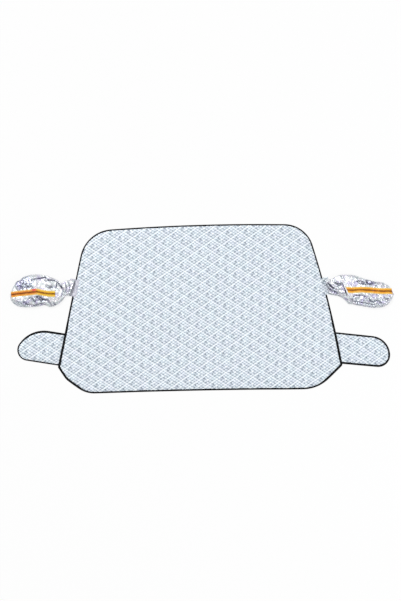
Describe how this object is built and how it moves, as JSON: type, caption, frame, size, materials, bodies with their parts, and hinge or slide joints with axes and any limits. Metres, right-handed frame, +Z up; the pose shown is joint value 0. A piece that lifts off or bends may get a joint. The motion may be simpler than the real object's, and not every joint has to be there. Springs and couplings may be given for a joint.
{
  "type": "windshield sun shade",
  "caption": "Quilted silver windshield sun shade, bound in black, with two door flaps and gathered mirror covers that carry orange reflective tape, laid flat.",
  "frame": {"origin": "the middle of the shade's box, on the surface that it lies on", "axes": "+X to the right of the shade as seen from its silver face, +Y towards its top edge, +Z up out of the silver face"},
  "size_m": [2.0358, 0.8976, 0.0442],
  "materials": {
    "quilted_film": "pale silver film over wadding, quilted in diamonds",
    "binding_tape": "matt black woven binding tape",
    "tab_cloth": "pale silver cloth",
    "foil_cloth": "crinkled silver foil cloth",
    "elastic": "woven elastic",
    "reflective_tape": "orange reflective tape with a brown middle line"
  },
  "bodies": {
    "root": {"main_panel": "quilted_film", "upper_binding": "binding_tape", "lower_binding": "binding_tape", "left_flap": "quilted_film", "right_flap": "quilted_film", "left_flap_binding": "binding_tape", "right_flap_binding": "binding_tape", "left_mirror_tab": "tab_cloth", "right_mirror_tab": "tab_cloth", "left_mirror_cuff": "foil_cloth", "right_mirror_cuff": "foil_cloth", "left_mirror_elastic": "elastic", "right_mirror_elastic": "elastic", "left_mirror_pouch": "foil_cloth", "right_mirror_pouch": "foil_cloth", "left_reflective_tape": "reflective_tape", "right_reflective_tape": "reflective_tape"}
  },
  "joints": []
}
